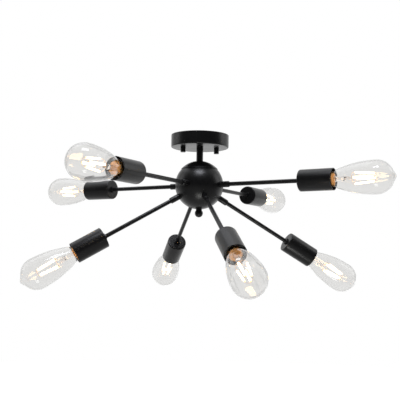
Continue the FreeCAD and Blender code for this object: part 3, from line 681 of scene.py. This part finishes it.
def build_earth_screw():
    shank = 2.0
    head = 3.8
    head_foot = -4.4
    screw = [
        (0, 0),
        (shank, 0),
        (shank, -STRAP_THICKNESS),
        (head, -STRAP_THICKNESS, 0.3),
        (head, head_foot, 1.3),
        (0, head_foot),
    ]
    screw_mesh = turned("earth_screw", eased(screw), around=40)
    place("earth_screw", screw_mesh, beside_axis(EARTH_SCREW_AT), "root", ZINC, "studs_and_nuts")


def build_tube_nut():
    """Nut and washer that hold the centre tube to the canopy from inside."""
    inside = CANOPY_FLOOR + CANOPY_WALL
    top = inside + 1.2
    radius = 9.1
    washer = [(TUBE_HOLE, inside), (radius, inside, BURR), (radius, top, 0.3), (TUBE_HOLE, top)]
    place("tube_washer", turned("tube_washer", eased(washer)), AT_CEILING, "root", ZINC, "studs_and_nuts")
    nut = hex_nut_mesh("tube_nut", TUBE_HOLE, flats=14.2, low=top, height=4)
    place("tube_nut", nut, AT_CEILING, "root", ZINC, "studs_and_nuts")


def dress_centre_tube():
    """The tube keeps its CAD solid and gets a material."""
    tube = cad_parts["centre_tube"]
    tube.data.materials.clear()
    tube.data.materials.append(ZINC_THREAD)


def build_sleeve():
    radius = 7.0
    foot = -54.52
    top = CANOPY_FLOOR
    sleeve = [(TUBE_HOLE, foot), (radius, foot, BURR), (radius, top, BURR), (TUBE_HOLE, top)]
    place("stem_tube", turned("stem_tube", eased(sleeve), around=48), AT_CEILING, "root", COAT, "stem_sleeve")


def build_bowl():
    """The ball's deep shell, open at the top."""
    rim = 37.2
    inner = 48.5
    foot = -angle_at_reach(BALL_RADIUS, TUBE_HOLE)
    inner_foot = -angle_at_reach(inner, TUBE_HOLE)
    bowl = arc(BALL_RADIUS, 0, foot, angle_at_height(BALL_RADIUS, rim), 72)
    bowl += arc(inner, 0, angle_at_height(inner, rim), inner_foot, 48)
    place("ball_bowl", turned("ball_bowl", bowl, around=128), AT_BALL, "root", COAT, "ball_shell")


def build_lid():
    """The thin dome that laps over the bowl's rim, flat on top where it carries the stem sleeve."""
    radius = 51.05
    inner = 50.15
    rim = 34.0
    flat = 7.6
    foot = angle_at_height(radius, rim)
    top = angle_at_reach(radius, flat)
    inner_foot = angle_at_height(inner, rim)
    inner_top = angle_at_reach(inner, TUBE_HOLE)
    lid = [
        (leg(inner, rim), rim),
        (leg(radius, rim) - 0.12, rim - 0.02),
        *arc(radius, 0, foot + 0.25, top, 40),
        (TUBE_HOLE, leg(radius, flat)),
        *arc(inner, 0, inner_top, inner_foot, 30)[:-1],
    ]
    place("ball_lid", turned("ball_lid", lid, around=128), AT_BALL, "root", COAT, "ball_cap")


def build_knob():
    """The finial: a small ball on a short neck that goes a little way into the bowl's wall."""
    radius = 8.5
    neck = 6.25
    neck_length = 2.7
    seat = -leg(BALL_RADIUS, neck)
    neck_top = seat + 0.3
    centre = seat - neck_length - leg(radius, neck)
    knob = [
        (0, centre - radius),
        *arc(radius, centre, -89, angle_at_reach(radius, neck), 36),
        (neck, neck_top),
        (TUBE_HOLE, neck_top),
        (TUBE_HOLE, centre),
        (0, centre),
    ]
    place("ball_knob", turned("ball_knob", knob), AT_BALL, "root", COAT, "finial")


# ---------------------------------------------------------------- arms, cups and holders


def coupling_mesh():
    """Turned coupling: a stub through the ball's wall, and a collar with a groove near its mouth."""
    radius = 6.25
    groove = radius - 0.25
    groove_at = 66.9
    mouth = 70.0
    chamfer = 0.9
    coupling = [
        (ARM_BORE, STUB_END),
        (STUB_RADIUS, STUB_END, 0.3),
        (STUB_RADIUS, 49.7),
        (radius, leg(BALL_RADIUS, radius) + 0.05, 0.15),
        (radius, groove_at - 0.5, 0.15),
        (groove, groove_at - 0.2),
        (groove, groove_at + 0.2),
        (radius, groove_at + 0.5, 0.15),
        (radius, mouth - chamfer, 0.1),
        (radius - chamfer, mouth, 0.1),
        (ARM_HOLE, mouth),
        (ARM_HOLE, ARM_START),
        (ARM_BORE, ARM_START),
    ]
    return turned("coupling", eased(coupling, steps=3), around=48, sharp=30)


def build_arms():
    tube = [
        (ARM_BORE, ARM_START, BURR),
        (ARM_RADIUS, ARM_START, BURR),
        (ARM_RADIUS, ARM_END, 0.25),
        (ARM_BORE, ARM_END, BURR),
    ]
    tube_mesh = turned("arm_tube", eased(tube), around=40)
    coupling = coupling_mesh()
    nut = hex_nut_mesh("coupling_nut", STUB_RADIUS + 0.1, flats=14.7, low=STUB_END + 0.6, height=4)
    for number in LAMPS:
        at = lamp_frame(number)
        place(f"arm_{number}_tube", tube_mesh, at, "root", COAT, f"arm_{number}")
        place(f"coupling_{number}", coupling, at, "root", COAT, "arm_couplings")
        place(f"coupling_{number}_nut", nut, at, "root", ZINC, "studs_and_nuts")


def build_cups():
    radius = 21.2
    inner_radius = 20.0
    mouth = 291.0
    wall = [
        (ARM_HOLE, CUP_BACK, 0.15),
        (radius, CUP_BACK, 2.4),
        (radius, mouth, 0.4),
        (inner_radius, mouth, 0.4),
        (inner_radius, CUP_FLOOR, 1.2),
        (ARM_HOLE, CUP_FLOOR),
    ]
    cup = turned("cup", eased(wall, steps=8), around=112)
    nut_height = 3
    nut = hex_nut_mesh("cup_nut", ARM_HOLE, flats=12.7, low=CUP_BACK - nut_height, height=nut_height)
    for number in LAMPS:
        at = lamp_frame(number)
        place(f"cup_{number}_shell", cup, at, "root", COAT, f"cup_{number}")
        place(f"cup_{number}_nut", nut, at, "root", COAT, "studs_and_nuts")


def holder_body_mesh():
    """Moulding: a neck that takes the arm's end, a wider pot, and the floor between them."""
    neck = 8.5
    neck_end = 245.6
    radius = 19.0
    bore = 14.15
    floor_back = 258.5
    floor = 263.5
    mouth = 286.0
    body = [
        (ARM_HOLE, CUP_FLOOR),
        (neck, CUP_FLOOR, 0.4),
        (neck, neck_end, 1.5),
        (radius, floor_back, 1.5),
        (radius, mouth, 0.7),
        (bore, mouth, 0.7),
        (bore, floor, 0.5),
        (0, floor),
        (0, floor_back),
        (ARM_BORE, floor_back),
        (ARM_BORE, ARM_END),
        (ARM_HOLE, ARM_END),
    ]
    return turned("holder_body", eased(body), around=72)


def screw_shell_mesh():
    """Brass shell whose thread stands out into its bore."""
    outer = 14.05
    inner = 13.5
    foot = 266.2
    mouth = 285.2
    crests = threaded(13.45, 266.9, 284.6, depth=0.42, pitch=THREAD_PITCH)
    thread = [(radius, height, -depth) for radius, height, depth in crests]
    shell = [(outer, foot), (outer, mouth), (inner, mouth), *thread[::-1], (inner, foot)]
    return turned("screw_shell", shell, around=72, pitch=THREAD_PITCH, sharp=60)


def centre_tab_mesh():
    """Dished contact in the middle of the holder's floor."""
    dome = 2.25
    dome_low = 264.1
    dome_high = 264.8
    flange = 4.5
    flange_foot = 263.5
    tab = [
        (0, dome_low),
        (dome, dome_low),
        (3.8, flange_foot),
        (flange, flange_foot),
        (flange, 263.85),
        (dome, dome_high, 0.6),
        (0, dome_high),
    ]
    return turned("centre_tab", eased(tab), around=40)


def build_holders():
    body = holder_body_mesh()
    shell = screw_shell_mesh()
    tab = centre_tab_mesh()
    for number in LAMPS:
        at = lamp_frame(number)
        place(f"holder_{number}_body", body, at, "root", MOULDING, "lampholder_bodies")
        place(f"holder_{number}_screw_shell", shell, at, "root", HOLDER_BRASS, "lampholder_contacts")
        place(f"holder_{number}_tab", tab, at, "root", HOLDER_BRASS, "lampholder_contacts")


# ---------------------------------------------------------------- lamps


def glass_line():
    """The glass's outer line: flared neck, long bowed side, round crown and blunt nose."""
    neck = [(12.2, 282.1), (12.2, 285.0), (12.35, 287.4), (12.9, 289.6)]
    flare = [(13.9, 291.5), (15.2, 292.9), (16.4, 294.0)]
    line = neck + flare
    run = BELLY_AT - WAIST_AT
    swell = BELLY_RADIUS - WAIST_RADIUS
    side = (run**2 + swell**2) / (2 * swell)  # radius of the long bowed side
    side_steps = 32
    for step in range(1, side_steps + 1):
        height = WAIST_AT + run * step / side_steps
        line.append((BELLY_RADIUS - side + leg(side, BELLY_AT - height), height))
    crown_end = 13.5  # radius where the crown meets the nose
    line += arc(BELLY_RADIUS, BELLY_AT, 0, angle_at_reach(BELLY_RADIUS, crown_end), 28)[1:]
    shoulder = Vector((10.3, 402.5))
    knee = Vector((5.6, 405.95))
    middle = (shoulder + knee) / 2
    line += bend(Vector(line[-1]), shoulder, middle, 6)[1:]
    line += bend(middle, knee, Vector((2.4, 407.5)), 6)[1:]
    return line + [(1.2, 407.92), (0, GLASS_TIP)]


def glass_profile():
    """The outer line, then the same line a wall further in, back to the neck. The tip's wall is thicker."""
    tip_wall = GLASS_WALL * 1.8
    nearest = 0.4  # the inner line keeps this far from the axis, up to its last point
    outer = glass_line()
    inner = []
    for index in range(len(outer) - 1):
        before = Vector(outer[max(index - 1, 0)])
        after = Vector(outer[index + 1])
        run = (after - before).normalized()
        inward = Vector((-run.y, run.x))
        radius, height = Vector(outer[index]) + inward * GLASS_WALL
        if radius > nearest:
            inner.append((radius, height))
    inner.append((0, GLASS_TIP - tip_wall))
    return outer + inner[::-1]


def screw_cap_mesh():
    """The lamp's brass cap: rounded foot, rolled thread, and a wider skirt round the glass."""
    skirt_radius = 14.0
    lip = 290.1
    foot = eased([(10.3, CAP_END), (10.7, 271.5, 0.2), (12.6, 271.6, 0.8), (13.05, 273.4)])
    thread = threaded(13.1, 273.8, 286.6, depth=0.72, pitch=THREAD_PITCH)
    skirt = [
        (13.1, 286.8),
        (skirt_radius, 287.5, 0.3),
        (skirt_radius, lip, 0.15),
        (13.6, lip, 0.1),
        (13.5, 287.8),
        (12.7, 287.0),
        (12.3, 281.0),
        (12.2, 273.2),
        (10.4, 272.3),
    ]
    return turned("screw_cap", [*foot, *thread, *eased(skirt)], around=96, pitch=THREAD_PITCH, sharp=50)


def cement_mesh():
    """The plug of cement between the cap and the glass's neck, dished at its top."""
    foot = 281.0
    top = 293.2
    plug = [
        (0, foot),
        (11.3, foot),
        (11.35, 287.4),
        (11.9, 289.6),
        (12.6, 291.0, 0.3),
        (9.0, 292.0, 2.0),
        (4.8, top),
        (0, top),
    ]
    return turned("cement", eased(plug))


def stem_mesh():
    """Flared glass stem, pressed flat above its waist where the leads pass through."""
    flare_radius = 11.25
    top = 321.1
    press_from = 309.0
    press_run = 5.0
    pressed_by = 0.66
    flare = [
        (0, 308.5),
        (3.4, 308.0, 1.5),
        (3.5, 296.5, 4.0),
        (10.6, 283.6),
        (flare_radius, 283.6, 0.2),
        (flare_radius, 284.5, 0.3),
        (4.5, 295.1, 5.0),
        (4.5, press_from),
        (4.45, 311),
        (4.35, 313),
        (4.25, 315),
        (4.2, top, 0.7),
        (0, top),
    ]
    mesh = turned("stem", eased(flare), around=48, sharp=70)
    for vertex in mesh.vertices:
        squeeze = min(max((vertex.co.z / MM - press_from) / press_run, 0), 1)
        vertex.co.y *= 1 - pressed_by * squeeze**2 * (3 - 2 * squeeze)
    return mesh


def strip_frames():
    """Where each strip stands in its lamp: leaning in towards the tip."""
    frames = []
    for azimuth in (45, 135, 225, 315):
        out = heading(azimuth, 0)
        start = out * STRIP_FOOT_SPREAD + Vector((0, 0, STRIP_FOOT))
        end = out * STRIP_TOP_SPREAD + Vector((0, 0, STRIP_TOP))
        up = (end - start).normalized()
        side = up.cross(out).normalized()
        matrix = Matrix((side.cross(up), side, up)).transposed().to_4x4()
        frames.append(Matrix.Translation(start * MM) @ matrix)
    return frames


def strips_mesh():
    """The four lit strips, rounded at their ends and a little flat."""
    end = [(0.0, 1.5), (1.3, 1.7), (1.85, 2.4), (2.05, 3.3)]
    bar = turned("strip", end + [(radius, STRIP_LENGTH - z) for radius, z in end[::-1]], around=20)
    bar.transform(Matrix.Diagonal((0.8, 1, 1, 1)))
    return joined("strips", [(bar, at) for at in strip_frames()])


def cage_mesh():
    """The metal round the strips: a tab at each end of each, a hoop at either end, and two leads."""
    wire = 0.26
    tab_low = 0.3
    tab_high = 2.2
    tab = turned("strip_tab", [(0, tab_low), (0.9, tab_low), (0.9, tab_high), (0, tab_high)], around=12)
    tab.transform(Matrix.Diagonal((0.4, 1, 1, 1)))
    to_top = Matrix.Translation((0, 0, (STRIP_LENGTH - tab_low - tab_high) * MM))
    metal = [(tab, at) for at in strip_frames()]
    metal += [(tab, at @ to_top) for at in strip_frames()]
    here = Matrix.Identity(4)
    for radius, height in ((STRIP_FOOT_SPREAD, STRIP_FOOT), (STRIP_TOP_SPREAD, STRIP_TOP)):
        metal.append((wire_mesh("hoop", ring_path(radius, height), wire, closed=True, around=8), here))
    lead = [(1.0, 312), (1.3, 318), (2.2, 322.5), (5.5, 326), (10.6, STRIP_FOOT)]
    for side in (1, -1):
        run = [Vector((side * reach, 0, height)) for reach, height in lead]
        metal.append((wire_mesh("lead", smooth_path(run), wire), here))
    return joined("cage_metal", metal)


def insulator_mesh():
    radius = 10.4
    insulator = [
        (0, INSULATOR_FOOT),
        (4.8, INSULATOR_FOOT, 0.4),
        (radius, 271.5, 0.8),
        (radius, CAP_END),
        (0, CAP_END),
    ]
    return turned("cap_insulator", eased(insulator))


def button_mesh():
    """The solder contact at the lamp's end."""
    radius = 4.8
    end = 265.1
    button = [
        (0, end),
        (3.4, end, 0.9),
        (radius, 265.7, 0.4),
        (radius, INSULATOR_FOOT, 0.3),
        (0, INSULATOR_FOOT),
    ]
    return turned("contact_button", eased(button), around=48)


def build_lamps():
    glass = turned("glass", glass_profile(), around=112, sharp=70)
    cap = screw_cap_mesh()
    insulator = insulator_mesh()
    cement = cement_mesh()
    button = button_mesh()
    stem = stem_mesh()
    strips = strips_mesh()
    cage = cage_mesh()
    for number in LAMPS:
        at = lamp_frame(number)
        body = f"bulb_{number}"
        tip = f"bulb_{number}_tip"
        base = f"bulb_{number}_base"
        filament = f"bulb_{number}_filament"
        place(f"lamp_{number}_glass", glass, at, body, GLASS, f"bulb_{number}_glass")
        place(f"lamp_{number}_screw_cap", cap, at, body, CAP_BRASS, base)
        place(f"lamp_{number}_insulator", insulator, at, body, INSULATOR, base)
        place(f"lamp_{number}_cement", cement, at, body, CEMENT, base)
        place(f"lamp_{number}_button", button, at, tip, SOLDER, f"bulb_{number}_contact")
        place(f"lamp_{number}_stem", stem, at, body, STEM_GLASS, filament)
        place(f"lamp_{number}_strips", strips, at, body, STRIP, filament)
        place(f"lamp_{number}_wires", cage, at, body, WIRE, filament)


# ---------------------------------------------------------------- studio

CAMERA_AT = (-0.3704, -1.4019, -0.265)  # metres
CAMERA_AZIMUTH = 75.12
CAMERA_PITCH = 5.11
CAMERA_ROLL = 0.915
CAMERA_LENS = 63.117  # mm
STUDIO_AZIMUTH = 75.2  # the studio's own axis, close to the way the camera looks
AMBIENT = 0.55  # what the world gives to surfaces that aren't glossy
FLOOR_RADIUS = 14  # metres
FLOOR_HEIGHT = -2.4
COOL = (0.90, 0.92, 1.0)
NEUTRAL = (1.0, 1.0, 1.0)
WARM = (1.0, 1.0, 0.97)
SKY = (0.9, 0.93, 1.0)


def toward(azimuth, elevation):
    """Unit vector from two angles in degrees: azimuth 0 is behind the object and 90 to its left."""
    return heading(STUDIO_AZIMUTH + azimuth, elevation)


def build_world():
    """White to the camera and through glass. Gloss sees white behind and overhead, and dim in front."""
    world = bpy.data.worlds.new("studio")
    bpy.context.scene.world = world
    world.use_nodes = True
    tree = world.node_tree
    path = add(tree, "LightPath").outputs
    way = add(tree, "TexCoord").outputs["Generated"]
    behind = along(tree, way, toward(0, 0))
    height = add(tree, "SeparateXYZ", {0: way}).outputs["Z"]
    level = between(tree, behind, 0.03, 1.0, start=-0.15, end=1.1)
    overhead = maths(
        tree,
        "MULTIPLY",
        between(tree, height, 0, 1, start=0.3, end=1.0),
        between(tree, behind, 0.15, 1.0, start=-0.6, end=0.5),
    )
    gloss = maths(tree, "MAXIMUM", level, overhead)
    part = blend(tree, path["Is Glossy Ray"], AMBIENT, gloss)
    strength = blend(tree, plainly_seen(tree, path), part, 1.0)
    background = tree.nodes["Background"].inputs
    tree.links.new(strength, background["Strength"])
    background["Color"].default_value = (1, 1, 1, 1)


def build_floor():
    """Pale floor that keeps the shadow: white to the camera, through glass and, far behind, in gloss."""
    made = bmesh.new()
    bmesh.ops.create_circle(made, cap_ends=True, radius=FLOOR_RADIUS, segments=96)
    mesh = finished("floor", made)
    floor = bpy.data.objects.new("floor", mesh)
    floor.location = (0, 0, FLOOR_HEIGHT)
    bpy.context.scene.collection.objects.link(floor)
    material, tree, shader = new_material("pale_floor", {"Roughness": 0.9, "Specular IOR Level": 0.1})
    path = add(tree, "LightPath").outputs
    pale = mottled(tree, noise(tree, scale=3), (0.79, 0.79, 0.79), (0.82, 0.82, 0.82))
    colour = blend_colour(tree, path["Is Glossy Ray"], pale, (0.42, 0.42, 0.42))
    feed(tree, shader, Base_Color=colour)
    behind = along(tree, add(tree, "TexCoord").outputs["Object"], toward(0, 0))
    far = maths(tree, "MULTIPLY", between(tree, behind, 0, 1, start=-1.5, end=8.0), path["Is Glossy Ray"])
    strength = maths(tree, "MAXIMUM", plainly_seen(tree, path), far)
    glow = add(tree, "Emission", {"Color": (1, 1, 1, 1), "Strength": strength})
    both = add(tree, "AddShader", {0: shader.outputs[0], 1: glow.outputs[0]})
    tree.links.new(both.outputs[0], tree.nodes["Material Output"].inputs["Surface"])
    mesh.materials.append(material)


def softbox(name, direction, distance, size, radiance, colour):
    """An area lamp aimed at the ball, its distance and its size across and up in metres."""
    lamp = bpy.data.lights.new(name, "AREA")
    lamp.shape = "RECTANGLE"
    lamp.size, lamp.size_y = size
    lamp.energy = radiance * math.pi * lamp.size * lamp.size_y
    lamp.color = colour
    holder = bpy.data.objects.new(name, lamp)
    out = toward(*direction)
    holder.location = BALL_CENTRE + out * distance
    holder.rotation_mode = "QUATERNION"
    holder.rotation_quaternion = out.to_track_quat("Z", "Y")
    holder.visible_camera = False
    holder.visible_transmission = False
    bpy.context.scene.collection.objects.link(holder)


def build_lights():
    """Two keys high in front, a fill low in front, faint ones at the sides, a wide one high on the left."""
    softbox("key_softbox_left", (166, 60), distance=1.7, size=(0.5, 0.52), radiance=8.0, colour=COOL)
    softbox("key_softbox_right", (-166, 60), distance=1.7, size=(0.5, 0.52), radiance=8.0, colour=COOL)
    softbox("left_softbox", (80, 20), distance=2.0, size=(0.8, 1.2), radiance=0.9, colour=NEUTRAL)
    softbox("right_softbox", (-80, 20), distance=2.0, size=(0.8, 1.2), radiance=1.1, colour=NEUTRAL)
    softbox("low_softbox", (180, -57), distance=1.7, size=(0.5, 0.5), radiance=5.0, colour=WARM)
    softbox("high_softbox", (50, 62), distance=1.7, size=(1.3, 1.3), radiance=0.72, colour=SKY)


def build_camera():
    """The photograph's camera."""
    roll = math.radians(CAMERA_ROLL)
    ahead = heading(CAMERA_AZIMUTH, CAMERA_PITCH)
    level = heading(CAMERA_AZIMUTH - 90, 0)
    upright = level.cross(ahead)
    right = level * math.cos(roll) + upright * math.sin(roll)
    above = upright * math.cos(roll) - level * math.sin(roll)
    turn = Matrix((right, above, -ahead)).transposed().to_4x4()
    data = bpy.data.cameras.new("photo_camera")
    data.sensor_width = 36
    data.lens = CAMERA_LENS
    data.clip_start = 0.05
    data.clip_end = 60
    camera = bpy.data.objects.new("photo_camera", data)
    camera.matrix_world = Matrix.Translation(CAMERA_AT) @ turn
    bpy.context.scene.collection.objects.link(camera)
    bpy.context.scene.camera = camera


build_canopy()
build_cap_nuts()
build_crossbar()
build_studs()
build_earth_screw()
build_tube_nut()
dress_centre_tube()
build_sleeve()
build_bowl()
build_lid()
build_knob()
build_arms()
build_cups()
build_holders()
build_lamps()
build_world()
build_floor()
build_lights()
build_camera()
bpy.context.scene.view_settings.view_transform = "Standard"
